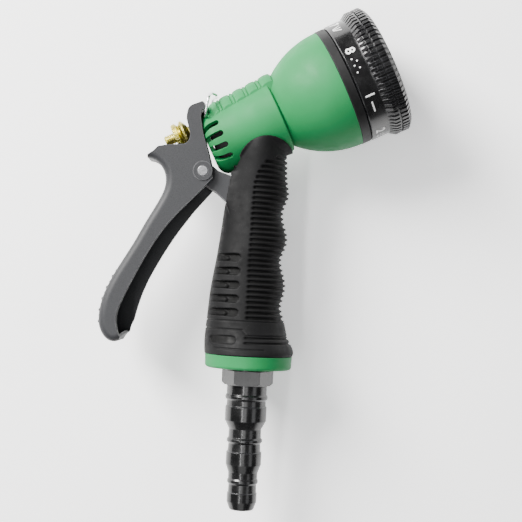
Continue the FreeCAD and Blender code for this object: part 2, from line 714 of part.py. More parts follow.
def adjusting_nut():
    """Brass nut: two knurled bands with a groove between, and a domed face to the trigger."""
    height = dim.stem_height
    nut = body("nut", head=True)
    back, front, radius = dim.nut_back, dim.nut_front, dim.nut_radius
    middle = (back + front) * 0.5 - 0.4
    bore = dim.thread_radius + 0.08
    revolve(nut, "nut_turn", [
        (back, height + bore), (back, height + radius - 0.6), (back + 0.6, height + radius),
        (middle - 1.3, height + radius), (middle, height + radius - 1.7),
        (middle + 1.3, height + radius), (front - 2.1, height + radius),
        (front, height + bore + 0.4, -12.0), (front, height + bore)], offset=height)
    groove = sketch(nut, "knurl", "YZ_Plane", lift=back - 1)
    tip = height + radius - 0.55
    outline(groove, [(tip, 0.0), (height + radius + 0.6, -0.62), (height + radius + 0.6, 0.62)])
    cutter = pad(nut, "knurl_cut", groove, 12, kind="Pocket", back=True)
    line = sketch(nut, "knurl_axis")
    line.addGeometry(Part.LineSegment(Vector(-30, dim.stem_height.value, 0),
                                      Vector(10, dim.stem_height.value, 0)), True)
    pattern = nut.newObject("PartDesign::PolarPattern", "knurl_pattern")
    pattern.Originals = [cutter]
    pattern.Axis = (line, ["Axis0"])
    pattern.Angle = 360
    pattern.Occurrences = int(dim.knurl_count.value)
    pattern.setExpression("Occurrences", dim.knurl_count.text)
    nut.Tip = pattern
    return keep(nut, "adjusting_nut")


# ---------------------------------------------------------------- trigger

TRIGGER_SPINE = [
    # back of the lever, where the fingers rest, from its foot up to its beak
    (-89.4, -67.2), (-91.0, -60.5), (-88.6, -53.6), (-82.9, -46.2), (-75.9, -40.2),
    (-58.1, -28.3), (-47.0, -20.4), (-37.4, -13.8), (-32.3, -8.6), (-30.5, -3.6), (-31.3, 2.2)]

TRIGGER_EDGE = [
    # lever seen from the side in the head frame: beak, shelf, arm, lip, front edge and foot
    (-35.1, 6.6, TRIGGER_SPINE), (-34.4, 7.8), (-31.1, 8.2), (-27.9, 9.3), (-23.7, 8.1),
    (-16.4, 5.2), (-12.6, 6.2, 3.4), (-10.9, 9.6, 5.0), (-9.8, 15.5), (-8.0, 18.6, -12.0),
    (-4.6, 20.8, -4.5), (0.6, 20.4), (1.3, 18.1, -1.8), (0.3, 16.6), (-1.5, 16.6),
    (-3.2, 13.1), (-4.9, 7.4), (-6.1, 1.2), (-7.2, -5.1), (-8.3, -9.8), (-9.8, -14.2),
    (-13.6, -20.0, -6.0), (-25.6, -25.2), (-36.7, -31.0), (-56.3, -43.7, 200.0),
    (-71.7, -57.4, 90.0), (-76.5, -63.0), (-80.6, -67.2, 12.0), (-84.9, -69.4, 7.0)]

TRIGGER_CHANNEL = [
    # hollow between the side walls, open towards the handle
    (-8.5, 9.6), (-7.4, 15.0), (-3.9, 18.4), (6.0, 18.2), (6.0, -45.0), (-70.0, -64.0),
    (-78.6, -69.4), (-81.6, -66.0), (-84.9, -67.2), (-88.6, -63.0, -3.8),
    (-86.7, -54.4, -20.0), (-74.7, -42.0, -48.0), (-56.9, -30.2), (-36.2, -15.8),
    (-28.5, -5.6, 12.0), (-28.4, 1.0), (-25.5, 5.8), (-16.6, 2.8), (-10.5, 4.2)]

# curve that the lever's open rim follows on its lower side and on its upper side
RIM_BELOW = [(-25.6, -25.6), (-36.6, -31.4), (-53.8, -42.4), (-67.8, -54.0), (-75.9, -62.9),
             (-80.2, -67.9)]
RIM_ABOVE = [(-20.6, -19.9), (-39.2, -26.9), (-57.4, -37.9), (-73.2, -49.9), (-81.5, -58.6),
             (-83.4, -64.5)]


def rim_trim():
    """Tool that cuts the lever's rim on a slant, so that it opens upwards as well."""
    sections = []
    for name, rim, first, last in (
            ("below", RIM_BELOW, (-9.5, -19.8), (-82.6, -71.0)),
            ("above", RIM_ABOVE, (-10.5, -16.2), (-83.2, -71.0))):
        level = dim.trigger_half if name == "above" else -dim.trigger_half
        owner = body("rim_" + name, head=True)
        drawing = sketch(owner, "rim_outline_" + name, "XY_Plane", lift=level)
        outline(drawing, [(4.0, -80.0), (4.0, first[1]), first, (*last, rim), (last[0], -80.0)])
        sections.append(drawing)
    trim = doc.addObject("Part::Loft", "rim_trim")
    trim.Sections, trim.Solid, trim.Ruled = sections, True, True
    bind_to_head(trim)
    return trim


def trigger():
    """Lever with two side walls, a rounded spine, bosses at the pivot and a slot for the stem."""
    lever = body("lever", head=True)
    drawing = outline(sketch(lever, "lever_outline"), TRIGGER_EDGE)
    pad(lever, "lever_pad", drawing, dim.trigger_half * 2, both=True)
    doc.recompute()
    spine = []
    for index, edge in enumerate(lever.Shape.Edges):
        if isinstance(edge.Curve, Part.BSplineCurve):
            spine.append("Edge%d" % (index + 1))
    fillet(lever, "spine_rounding", spine, 3.6)
    channel = outline(sketch(lever, "channel_outline"), TRIGGER_CHANNEL)
    inner = dim.trigger_half - dim.trigger_wall
    pad(lever, "channel", channel, inner * 2, kind="Pocket", both=True)
    slot = sketch(lever, "stem_slot", "XY_Plane")
    rectangle(slot, -14.0, 7.2, -6.0, 16.6)
    pad(lever, "stem_slot_cut", slot, 6.8, kind="Pocket", both=True)
    room = sketch(lever, "nut_room", "XY_Plane")
    rectangle(room, -27.0, 2.8, -11.0, 12.0)
    pad(lever, "nut_room_cut", room, dim.nut_radius * 2 + 1.6, kind="Pocket", both=True)
    for side in (0, 1):
        ring = sketch(lever, "boss_%d" % side, "XY_Plane", lift=inner)
        circle(ring, dim.pivot_along, dim.pivot_across, dim.boss_radius)
        boss = pad(lever, "boss_pad_%d" % side, ring, dim.trigger_wall + dim.boss_height)
        if side:
            boss.Reversed = True
            ring.setExpression("AttachmentOffset.Base.z", (-inner).text)
    hole = circle(sketch(lever, "pivot_hole"), dim.pivot_along, dim.pivot_across,
                  dim.pin_radius + dim.running_gap)
    pad(lever, "pivot_bore", hole, 60, kind="Pocket", both=True)
    return keep(cut("trigger", lever, rim_trim()), "trigger")


def trigger_pin():
    """Round pivot pin with softly domed ends."""
    pin = body("pin", head=True)
    half, radius = dim.pin_half, dim.pin_radius
    drawing = sketch(pin, "pin_round", "XY_Plane")
    circle(drawing, dim.pivot_along, dim.pivot_across, radius)
    pad(pin, "pin_pad", drawing, half * 2, both=True)
    doc.recompute()
    rims = ["Edge%d" % (i + 1) for i, edge in enumerate(pin.Shape.Edges)
            if abs(edge.Length - 2 * math.pi * radius.value) < 0.01]
    fillet(pin, "pin_dome", rims, 0.5)
    return keep(pin, "trigger_pin")


def rounded_path(points, radius):
    """Straight runs through the points, with a tangent arc at every inner corner."""
    edges, start = [], points[0]
    for before, corner, after in zip(points, points[1:], points[2:]):
        way_in = (corner - before).normalize()
        way_out = (after - corner).normalize()
        turn = way_in.getAngle(way_out)
        reach = radius * math.tan(turn / 2)
        entry, leave = corner - way_in * reach, corner + way_out * reach
        middle_way = (way_out - way_in).normalize()
        middle = corner + middle_way * (radius / math.cos(turn / 2) - radius)
        edges.append(Part.LineSegment(start, entry).toShape())
        edges.append(Part.Arc(entry, middle, leave).toShape())
        start = leave
    edges.append(Part.LineSegment(start, points[-1]).toShape())
    return Part.Wire(edges)


def hold_open_clip():
    """Bent wire bail: its ends turn in to the barrel and its bight lies over the thumb strip."""
    side = dim.clip_half.value
    leg = [(0.0, 0.0, side - 6.4), (0.0, 0.0, side), (2.9, 4.4, side), (5.4, 7.8, side),
           (7.4, 9.6, side - 4.2), (9.3, 8.5, side - 9.4)]
    points = [Vector(*p) for p in leg]
    points += [Vector(x, y, -z) for x, y, z in reversed(leg)]
    path = rounded_path(points, dim.clip_bend.value)
    start = points[0]
    section = Part.Wire(Part.Circle(start, Z_AXIS, dim.wire_radius.value).toShape())
    clip = doc.addObject("Part::Feature", "clip_wire")
    clip.Shape = path.makePipeShell([section], True, False)
    clip.Placement = in_head(dim.clip_along.value, dim.clip_across.value)
    return keep(clip, "hold_open_clip")


# ---------------------------------------------------------------- spray head

def head_collar():
    """Fixed black ring on the bulb, with a plate that the dial turns against."""
    ring = body("collar", head=True)
    plate = dim.collar_front - dim.collar_plate
    revolve(ring, "collar_turn", [
        (dim.bulb_front + 0.05, dim.bulb_spigot_radius + 0.05),
        (dim.bulb_front + 0.05, dim.collar_radius - 0.3),
        (dim.bulb_front + 0.35, dim.collar_radius),
        (dim.collar_front - 0.5, dim.collar_radius), (dim.collar_front, dim.collar_radius - 0.5),
        (dim.collar_front, dim.collar_bore), (plate, dim.collar_bore),
        (plate, dim.bulb_spigot_radius + 0.05)])
    cup = circle(sketch(ring, "spring_cup", "YZ_Plane", lift=62.6), -dim.click_circle, 0, 2.35)
    pad(ring, "spring_cup_pad", cup, plate - 62.5)
    hole = circle(sketch(ring, "click_hole", "YZ_Plane", lift=63.2), -dim.click_circle, 0, 1.6)
    pad(ring, "click_bore", hole, 20, kind="Pocket", back=True)
    return keep(ring, "head_collar")


def spray_core():
    """Fixed water outlet: a spigot in the chamber, a flange, and one port towards the dial."""
    core = body("core", head=True)
    front, back = dim.core_front, dim.core_flange_back
    revolve(core, "core_turn", [
        (dim.core_spigot, 8.0), (dim.core_spigot, dim.core_spigot_radius),
        (60.0, dim.core_spigot_radius), (60.0, 9.2), (62.0, 9.2),
        (62.0, dim.core_spigot_radius), (back, dim.core_spigot_radius), (back, dim.core_radius),
        (front - 0.4, dim.core_radius), (front, dim.core_radius - 0.4), (front, 0.0),
        (60.0, 0.0), (60.0, dim.core_post), (67.0, dim.core_post), (69.0, dim.core_post + 2),
        (69.0, 8.0)])
    channel = sketch(core, "port_channel", "XY_Plane")
    rectangle(channel, 66.2, 5.0, 69.0, dim.port_circle + dim.port_radius)
    pad(core, "port_channel_cut", channel, dim.port_radius * 2, kind="Pocket", both=True)
    port = circle(sketch(core, "port", "YZ_Plane", lift=68), dim.port_circle, 0, dim.port_radius)
    pad(core, "port_bore", port, 10, kind="Pocket", back=True)
    seat = circle(sketch(core, "seal_seat", "YZ_Plane", lift=70), dim.port_circle - 0.6, 0,
                  dim.port_radius + 1.0)
    pad(core, "seal_seat_bore", seat, 10, kind="Pocket", back=True)
    centre = circle(sketch(core, "screw_hole", "YZ_Plane", lift=60), 0, 0, 2.05)
    pad(core, "screw_bore", centre, 20, kind="Pocket", back=True)
    screw = circle(sketch(core, "fixing_hole", "YZ_Plane", lift=60), -15.0, 0, 1.4)
    fixing = pad(core, "fixing_bore", screw, 20, kind="Pocket", back=True)
    head = circle(sketch(core, "fixing_seat", "YZ_Plane", lift=69), -15.0, 0, 2.8)
    seat = pad(core, "fixing_seat_bore", head, 10, kind="Pocket", back=True)
    polar(core, "fixing_pattern", [fixing, seat], 2, angle=90.0)
    return keep(core, "spray_core")


def turned(label, name, corners, across=None):
    part = body(name, head=True)
    revolve(part, name + "_turn", corners, offset=across)
    return keep(part, label)


def core_parts():
    """Seals, screws and the click ball of the fixed side."""
    ring = doc.addObject("Part::Torus", "core_ring")
    ring.Radius1, ring.Radius2 = 10.15, 0.85
    ring.Placement = in_head(61.0, 0, 0, ALONG)
    keep(ring, "core_o_ring")
    seal_axis = dim.port_circle - 0.6
    turned("port_seal", "port_seal_ring", [
        (70.05, seal_axis + 2.6), (70.05, seal_axis + 4.2), (72.2, seal_axis + 4.2),
        (72.75, seal_axis + 3.6), (72.75, seal_axis + 2.6)], across=seal_axis)
    screws = []
    for index, angle in enumerate((180.0, 270.0)):
        place = in_head(0, 0, 0, Rotation(X_AXIS, angle))
        for part, start, end, radius in (("shank", 60.4, 69.1, 1.3), ("cap", 69.05, 71.2, 2.6)):
            seat = place.multiply(Placement(Vector(start, 15.0, 0), ALONG))
            screws.append(cylinder("core_screw_%s_%d" % (part, index), radius, end - start,
                                   seat))
    keep(fuse("core_screw_pair", screws), "core_screws")
    ball = doc.addObject("Part::Sphere", "click_ball")
    ball.Radius = 1.5
    pressed_back = 69.9 - dim.click_travel.value
    ball.Placement = in_head(pressed_back, -dim.click_circle.value, 0)
    keep(ball, "detent_ball")
    start, end, radius, turns = 63.4, pressed_back - 2.1, 1.0, 4
    helix = Part.makeHelix((end - start) / turns, end - start, radius)
    section = Part.Wire(Part.Circle(Vector(radius, 0, 0), Y_AXIS, 0.2).toShape())
    spring = doc.addObject("Part::Feature", "click_spring")
    spring.Shape = Part.Wire(helix.Edges).makePipeShell([section], True, True)
    spring.Placement = in_head(start, -dim.click_circle.value, 0, ALONG)
    keep(spring, "detent_spring")


def spray_dial():
    """Turning ring: smooth band behind, then a flared flange with two rows of grip teeth."""
    ring = body("dial_ring", head=True)
    high = dim.flange_radius
    revolve(ring, "dial_turn", [
        (dim.dial_back, dim.dial_bore), (dim.dial_back, dim.dial_band_radius - 0.4),
        (dim.dial_back + 0.4, dim.dial_band_radius), (dim.dial_band_end, dim.dial_band_radius),
        (dim.flange_back, high, 7.0), (dim.flange_front, high),
        (dim.dial_front - 0.5, dim.dial_lip_radius + 0.4), (dim.dial_front, dim.dial_lip_radius),
        (dim.dial_front, dim.dial_mouth_radius + 0.6),
        (dim.dial_front - 0.6, dim.dial_mouth_radius),
        (dim.face_front, dim.dial_mouth_radius), (dim.face_front, dim.dial_bore)])
    crest = high + dim.tooth_height
    tooth_rows = (
        ("rear_tooth", [(79.3, 30.4), (82.5, crest), (84.6, crest), (85.0, 31.4)]),
        ("front_tooth", [(85.5, 31.4), (85.8, crest), (dim.flange_front, crest), (91.1, 30.3)]))
    for name, top in tooth_rows:
        drawing = sketch(ring, name + "_side", "XY_Plane")
        foot = 28.5
        outline(drawing, [(top[0][0], foot)] + top + [(top[-1][0], foot)])
        tooth = pad(ring, name, drawing, 1.5, both=True)
        polar(ring, name + "_pattern", [tooth], dim.tooth_count)
    return keep(ring, "spray_dial")


def dial_face():
    """Plate inside the dial with eight chambers behind and a different outlet in each."""
    face = body("face", head=True)
    revolve(face, "face_turn", [
        (dim.rim_back, dim.rim_inner), (dim.rim_back, dim.rim_outer),
        (dim.face_back - 0.4, dim.rim_outer), (dim.face_back, dim.face_radius),
        (dim.face_front, dim.face_radius), (dim.face_front, 5.6), (dim.face_front - 4.2, 5.6),
        (dim.face_front - 4.2, 2.35), (dim.face_back, 2.35), (dim.face_back, dim.rim_inner)])
    chamber = circle(sketch(face, "chamber", "YZ_Plane", lift=dim.face_back),
                     dim.port_circle, 0, dim.chamber_radius)
    depth = dim.face_front - dim.face_skin - dim.face_back
    tool = pad(face, "chamber_bore", chamber, depth, kind="Pocket", back=True)
    dimple = circle(sketch(face, "dimple", "YZ_Plane", lift=dim.rim_back - 5),
                    -dim.click_circle, 0, 1.75)
    click = pad(face, "dimple_bore", dimple, 6.2, kind="Pocket", back=True)
    polar(face, "chamber_pattern", [tool, click], dim.pattern_count)
    for place in range(int(dim.pattern_count.value)):
        pattern_holes(face, place)
    return keep(face, "dial_face")


def pattern_holes(face, place):
    """Outlets of one spray pattern, spread about the middle of its chamber."""
    turn = math.radians(45.0 * place)
    ring = dim.port_circle.value
    middle_y, middle_z = ring * math.cos(turn), ring * math.sin(turn)
    rounds = {
        0: [(0, 0, 1.9)],
        1: [(2.9 * math.cos(a), 2.9 * math.sin(a), 0.6)
            for a in [math.radians(60 * k) for k in range(6)]] + [(0, 0, 0.6)],
        2: [(0, 0, 3.6)],
        4: [(3.4 * math.cos(a), 3.4 * math.sin(a), 0.5)
            for a in [math.radians(30 * k) for k in range(12)]],
        5: [(x * 2.0, y * 2.0, 0.55) for x in (-1, 0, 1) for y in (-1, 0, 1)],
        7: [(1.7 * math.cos(a), 1.7 * math.sin(a), 0.8)
            for a in [math.radians(120 * k) for k in range(3)]],
    }
    drawing = sketch(face, "pattern_%d" % place, "YZ_Plane", lift=80.0)
    if place in rounds:
        for y, z, radius in rounds[place]:
            circle(drawing, middle_y + y, middle_z + z, radius)
    elif place == 3:
        rectangle(drawing, middle_y - 0.6, middle_z - 3.6, middle_y + 0.6, middle_z + 3.6)
    else:
        rectangle(drawing, middle_y - 3.6, middle_z - 0.6, middle_y + 3.6, middle_z + 0.6)
    pad(face, "pattern_cut_%d" % place, drawing, 20, kind="Pocket", back=True)


def centre_parts():
    """Screw that the dial turns on, its washer, and the cap over it."""
    seat = dim.face_front - 4.2
    screw = body("screw", head=True)
    revolve(screw, "screw_turn", [
        (61.0, 0.0), (61.0, 1.5), (61.6, 2.0), (seat + 0.9, 2.0), (seat + 0.9, 4.2),
        (seat + 2.3, 4.0), (seat + 2.9, 2.6), (seat + 2.9, 0.0)])
    cross = sketch(screw, "cross_slot", "XY_Plane")
    rectangle(cross, seat + 1.9, -2.4, seat + 4, 2.4)
    first = pad(screw, "cross_slot_cut", cross, 0.8, kind="Pocket", both=True)
    polar(screw, "cross_slots", [first], 2, angle=90.0)
    keep(screw, "centre_screw")
    turned("screw_washer", "washer_ring", [
        (seat + 0.1, 2.1), (seat + 0.1, 5.0), (seat + 0.85, 5.0), (seat + 0.85, 2.1)])
    turned("dial_cap", "cap", [
        (seat + 3.3, 0.0), (seat + 3.3, 5.55), (seat + 4.2, 5.55), (seat + 5.0, 4.6),
        (seat + 5.3, 0.0)])


# ---------------------------------------------------------------- checks and export

def check_document():
    doc.recompute()
    for item in doc.Objects:
        bad = [word for word in item.State if word in ("Invalid", "Error")]
        if bad:
            raise RuntimeError("%s (%s) did not compute: %s" % (item.Name, item.Label, bad))
    for item in made:
        shape = item.Shape
        if shape.isNull() or not shape.isValid() or not shape.Solids:
            raise RuntimeError("%s has no valid solid" % item.Label)


def export_parts():
    os.makedirs("parts", exist_ok=True)
    for item in made:
        item.Shape.exportStep("parts/%s.step" % item.Label)
        box_size = item.Shape.BoundBox
        print("%-16s solids %d volume %9.1f  x %.1f..%.1f y %.1f..%.1f z %.1f..%.1f" % (
            item.Label, len(item.Shape.Solids), item.Shape.Volume, box_size.XMin, box_size.XMax,
            box_size.YMin, box_size.YMax, box_size.ZMin, box_size.ZMax))


for build in (inner_body, grip_sleeve, base_collar, hose_barb, inlet_parts, rear_housing,
              front_housing, valve_parts, return_spring, adjusting_nut, trigger, trigger_pin,
              hold_open_clip, head_collar, spray_core, core_parts, spray_dial, dial_face,
              centre_parts):
    build()
check_document()
export_parts()
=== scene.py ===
"""Looks for the hose spray nozzle: materials, ribbed grip, dial marks, trigger nubs, camera, light.

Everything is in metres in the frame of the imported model: Y runs up the handle, Z up from the floor.
"""

import json
import math

import bmesh
import bpy
import numpy as np
from mathutils import Matrix, Vector
from mathutils.bvhtree import BVHTree


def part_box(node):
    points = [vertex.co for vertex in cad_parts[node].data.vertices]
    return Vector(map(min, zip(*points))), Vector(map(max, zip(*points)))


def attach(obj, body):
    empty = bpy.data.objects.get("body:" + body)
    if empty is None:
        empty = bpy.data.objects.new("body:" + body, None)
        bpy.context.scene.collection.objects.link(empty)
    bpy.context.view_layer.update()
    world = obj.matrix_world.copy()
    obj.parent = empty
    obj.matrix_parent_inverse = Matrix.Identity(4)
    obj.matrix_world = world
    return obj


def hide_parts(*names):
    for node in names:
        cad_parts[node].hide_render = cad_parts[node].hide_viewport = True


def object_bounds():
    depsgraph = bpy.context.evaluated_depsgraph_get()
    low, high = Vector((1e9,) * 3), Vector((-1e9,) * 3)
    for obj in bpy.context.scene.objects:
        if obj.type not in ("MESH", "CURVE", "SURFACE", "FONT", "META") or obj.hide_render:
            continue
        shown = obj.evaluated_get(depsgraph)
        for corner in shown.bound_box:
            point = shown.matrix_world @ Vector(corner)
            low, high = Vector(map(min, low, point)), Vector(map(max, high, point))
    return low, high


MM = 0.001
UP = Vector((0, 0, 1))

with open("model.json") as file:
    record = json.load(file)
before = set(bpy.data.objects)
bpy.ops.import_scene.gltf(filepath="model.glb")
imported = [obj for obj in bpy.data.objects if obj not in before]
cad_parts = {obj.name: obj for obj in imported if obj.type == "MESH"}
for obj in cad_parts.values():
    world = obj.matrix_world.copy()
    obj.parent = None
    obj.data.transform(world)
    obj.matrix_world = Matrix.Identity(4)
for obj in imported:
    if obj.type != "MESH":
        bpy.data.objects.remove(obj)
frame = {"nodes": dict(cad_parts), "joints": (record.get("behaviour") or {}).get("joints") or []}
cad_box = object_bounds()
nodes = frame["nodes"]
low, high = Vector(cad_box[0]), Vector(cad_box[1])
middle = (low + high) / 2


def joint(name):
    """The record's joint of that name."""
    return next(j for j in frame["joints"] if j["name"] == name)


# The spray head's own frame: along its axis, across it on the thumb's side, and up.
HEAD_AXIS = Vector(joint("dial_turn")["axis"])
HEAD_ACROSS = UP.cross(HEAD_AXIS)
DIAL_PIVOT = Vector(joint("dial_turn")["pos_m"])


# ---------------------------------------------------------------- camera, floor and light

CAMERA_OFFSET = Vector((10.1, -13.9, 607.5)) * MM       # from the middle of the CAD's box
CAMERA_TURN = math.radians(2.8)
FLOOR_HALF = 15.0
FLOOR_GAP = 0.05 * MM
FLOOR_GLOW = 0.6


def make_camera():
    """A long lens straight above the nozzle, turned a little about the view."""
    data = bpy.data.cameras.new("camera")
    data.lens = 84.0
    data.sensor_width = 36.0
    data.shift_x = -0.023
    data.shift_y = 0.048
    camera = bpy.data.objects.new("camera", data)
    camera.location = middle + CAMERA_OFFSET
    camera.rotation_euler = (0, 0, CAMERA_TURN)
    bpy.context.scene.collection.objects.link(camera)
    bpy.context.scene.camera = camera


def make_floor():
    """A wide pale floor with some light of its own, just under the lowest point of the CAD."""
    mesh = bpy.data.meshes.new("floor")
    sheet = bmesh.new()
    bmesh.ops.create_grid(sheet, x_segments=8, y_segments=8, size=FLOOR_HALF)
    sheet.to_mesh(mesh)
    sheet.free()
    floor = bpy.data.objects.new("floor", mesh)
    floor.location = (middle.x, middle.y, low.z - FLOOR_GAP)
    bpy.context.scene.collection.objects.link(floor)
    look = Look("floor_paper", roughness=0.85)
    look.colour_between((0.92, 0.92, 0.93), (0.96, 0.96, 0.96), look.noise(3.0))
    look.set("Emission Color", (1, 1, 1, 1))
    look.set("Emission Strength", FLOOR_GLOW)
    mesh.materials.append(look.material)


def area_light(name, place, size, power, tint=(1, 1, 1)):
    """A soft light of that width and height at place, measured from and aimed at the middle."""
    data = bpy.data.lights.new(name, "AREA")
    data.shape = "RECTANGLE"
    data.size, data.size_y = size
    data.energy = power
    data.color = tint
    light = bpy.data.objects.new(name, data)
    light.location = middle + Vector(place)
    light.rotation_euler = (-Vector(place)).to_track_quat("-Z", "Y").to_euler()
    bpy.context.scene.collection.objects.link(light)


def make_light():
    """Soft key light from the upper left, a long strip, a small overhead lamp, fills, pale sky."""
    area_light("key", (-0.78, 0.66, 0.72), (0.5, 0.7), 66.0, (1.0, 0.99, 0.97))
    area_light("strip", (-0.30, 0.0, 0.95), (1.3, 0.06), 6.0)
    area_light("overhead", (-0.03, -0.13, 1.0), (0.28, 0.28), 1.0)
    area_light("fill", (0.80, 0.10, 0.80), (1.0, 0.4), 2.5, (0.97, 0.98, 1.0))
    area_light("front", (-0.1, -0.9, 0.8), (0.9, 0.4), 2.0)
    world = bpy.data.worlds.new("sky")
    world.use_nodes = True
    sky = world.node_tree.nodes["Background"]
    sky.inputs["Color"].default_value = (0.97, 0.98, 1.0, 1)
    sky.inputs["Strength"].default_value = 0.14
    bpy.context.scene.world = world


# ---------------------------------------------------------------- materials

# The mix node has a set of sockets for each kind of value; these are the ones for colours.
MIX_FIRST, MIX_SECOND, MIX_RESULT = 6, 7, 2
EDGE_ROUNDING = 0.22 * MM
# Edges are painted paler in several materials: partly wear, partly a painted highlight.
EDGE_WEAR_AND_HIGHLIGHT_RADIUS = 0.45 * MM
EDGE_WEAR_AND_HIGHLIGHT_RANGE = 0.3 / 2.2           # how far the two normals part on an edge painted fully paler, as wear and as painted highlight


class Look:
    """One procedural material: a Principled shader and the nodes that vary it over the surface."""

    def __init__(self, name, roughness=0.5, metallic=0.0, specular=0.5, coat=0.0, coat_roughness=0.1):
        self.material = bpy.data.materials.new(name)
        self.material.use_nodes = True
        self.tree = self.material.node_tree
        self.shader = self.tree.nodes["Principled BSDF"]
        self.set("Roughness", roughness)
        self.set("Metallic", metallic)
        self.set("Specular IOR Level", specular)
        self.set("Coat Weight", coat)
        self.set("Coat Roughness", coat_roughness)
        self.place = self.node("ShaderNodeTexCoord").outputs["Object"]
        self.normal = None

    def set(self, socket, value):
        """One value for the whole surface, on the shader's own socket."""
        self.shader.inputs[socket].default_value = value

    def node(self, kind, links=(), **settings):
        """A node with its settings, and links given as (socket, source)."""
        made = self.tree.nodes.new(kind)
        for key, value in settings.items():
            setattr(made, key, value)
        for socket, source in links:
            self.feed(made.inputs[socket], source)
        return made

    def feed(self, socket, source):
        """Link a source, or set a plain number."""
        if isinstance(source, (int, float, tuple)):
            socket.default_value = source
        else:
            self.tree.links.new(source, socket)

    def stretched(self, x, y, z, turn=0.0):
        """Object coordinates scaled unevenly, for streaks and machined lines."""
        mapping = self.node("ShaderNodeMapping", [("Vector", self.place)])
        mapping.inputs["Scale"].default_value = (x, y, z)
        mapping.inputs["Rotation"].default_value = (0, 0, turn)
        return mapping.outputs["Vector"]

    def noise(self, scale, detail=3.0, rough=0.55, place=None):
        """Cloudy noise from 0 to 1, scale in lumps per metre."""
        made = self.node("ShaderNodeTexNoise", [("Vector", place or self.place), ("Scale", scale),
                                                ("Detail", detail), ("Roughness", rough)])
        return made.outputs["Fac"]

    def cells(self, scale):
        """Distance to the nearest of many scattered points, for specks and stipple."""
        made = self.node("ShaderNodeTexVoronoi", [("Vector", self.place), ("Scale", scale)])
        return made.outputs["Distance"]

    def between(self, source, start, end, low_value=0.0, high_value=1.0):
        """The source stretched from start..end to low_value..high_value and cut off there."""
        made = self.node("ShaderNodeMapRange", [
            ("Value", source), ("From Min", start), ("From Max", end),
            ("To Min", low_value), ("To Max", high_value)])
        return made.outputs["Result"]

    def mixed(self, first, second, share):
        """First colour at share 0, second colour at share 1."""
        made = self.node("ShaderNodeMix", data_type="RGBA")
        self.feed(made.inputs["Factor"], share)
        for socket, colour in ((MIX_FIRST, first), (MIX_SECOND, second)):
            plain = isinstance(colour, tuple)
            self.feed(made.inputs[socket], (*colour, 1.0) if plain else colour)
        return made.outputs[MIX_RESULT]

    def colour_between(self, first, second, share):
        """Base colour that drifts between two colours."""
        mix = self.mixed(first, second, share)
        self.feed(self.shader.inputs["Base Color"], mix)
        return mix

    def colour(self, source):
        """Base colour taken from a source."""
        self.feed(self.shader.inputs["Base Color"], source)

    def roughness_between(self, smooth, rough, share):
        """Roughness that varies with a source from 0 to 1."""
        self.feed(self.shader.inputs["Roughness"], self.between(share, 0.3, 0.7, smooth, rough))

    def edges(self):
        """From 0 on open surface to 1 on edges: a mask for wear where handling rubs and for a painted
        highlight where light catches.
        """
        rounded = self.node("ShaderNodeBevel", samples=4)
        rounded.inputs["Radius"].default_value = EDGE_WEAR_AND_HIGHLIGHT_RADIUS
        plain = self.node("ShaderNodeNewGeometry").outputs["Normal"]
        match = self.node("ShaderNodeVectorMath", [(0, rounded.outputs["Normal"]), (1, plain)],
                          operation="DOT_PRODUCT")
        return self.between(match.outputs["Value"], 1.0, 1.0 - EDGE_WEAR_AND_HIGHLIGHT_RANGE)

    def bump(self, source, height, strength=1.0):
        """Add relief of that height in metres. Later calls lie on top of earlier ones."""
        made = self.node("ShaderNodeBump", [("Height", source), ("Strength", strength),
                                            ("Distance", height)])
        if self.normal is None:
            rounded = self.node("ShaderNodeBevel", samples=4)
            rounded.inputs["Radius"].default_value = EDGE_ROUNDING
            self.normal = rounded.outputs["Normal"]
        self.feed(made.inputs["Normal"], self.normal)
        self.normal = made.outputs["Normal"]
        self.feed(self.shader.inputs["Normal"], self.normal)


def green_plastic():
    """Semi-matt moulded green with faint flow clouds, fine orange peel, and edges painted paler as wear
    and as a painted highlight.
    """
    look = Look("green_plastic", roughness=0.5, specular=0.18)
    clouds = look.noise(26.0, detail=4.0)
    body = look.mixed((0.006, 0.150, 0.040), (0.011, 0.195, 0.058), look.between(clouds, 0.3, 0.7))
    dusty = look.mixed(body, (0.05, 0.24, 0.10), look.between(look.noise(900.0), 0.62, 0.9, 0.0, 0.3))
    # Edges painted paler green: partly wear, partly a painted highlight.
    look.colour(look.mixed(dusty, (0.08, 0.34, 0.14), look.between(look.edges(), 0.0, 1.0, 0.0, 0.4)))
    look.roughness_between(0.46, 0.62, look.noise(160.0, detail=5.0))
    look.bump(look.noise(1400.0, detail=2.0), 0.03 * MM, 0.5)
    return look.material


# Height up the handle above which the core is painted black: painted shade for the dark inside of the
# barrel.
CORE_PAINTED_SHADE_FROM = 170.8 * MM


def trigger_plastic(name, painted_shade_above=None):
    """Dark grey glass-filled plastic with fine specks and edges painted paler as wear and painted
    highlight; above that height on the handle, painted black as shade inside the barrel.
    """
    look = Look(name, roughness=0.5, specular=0.3)
    grain = look.noise(2600.0, detail=2.0, rough=0.7)
    body = look.mixed((0.014, 0.0145, 0.0165), (0.029, 0.0295, 0.032), look.between(grain, 0.35, 0.65))
    cloudy = look.mixed(body, (0.024, 0.0245, 0.027), look.between(look.noise(45.0), 0.45, 0.75, 0.0, 0.5))
    # Edges painted pale grey: partly wear, partly a painted highlight; worn carries both.
    worn = look.mixed(cloudy, (0.20, 0.20, 0.21), look.between(look.edges(), 0.0, 1.0, 0.0, 0.5))
    if painted_shade_above is not None:
        # Painted shade: above that height the core is painted black, for the shade inside the barrel; worn
        # then carries this too.
        parts = look.node("ShaderNodeSeparateXYZ", [("Vector", look.place)])
        barrel_shade = look.between(parts.outputs["Y"], painted_shade_above, painted_shade_above + 0.8 * MM)
        worn = look.mixed(worn, (0.002, 0.002, 0.002), barrel_shade)
    look.colour(worn)
    look.roughness_between(0.42, 0.60, grain)
    look.bump(grain, 0.05 * MM, 0.6)
    return look.material


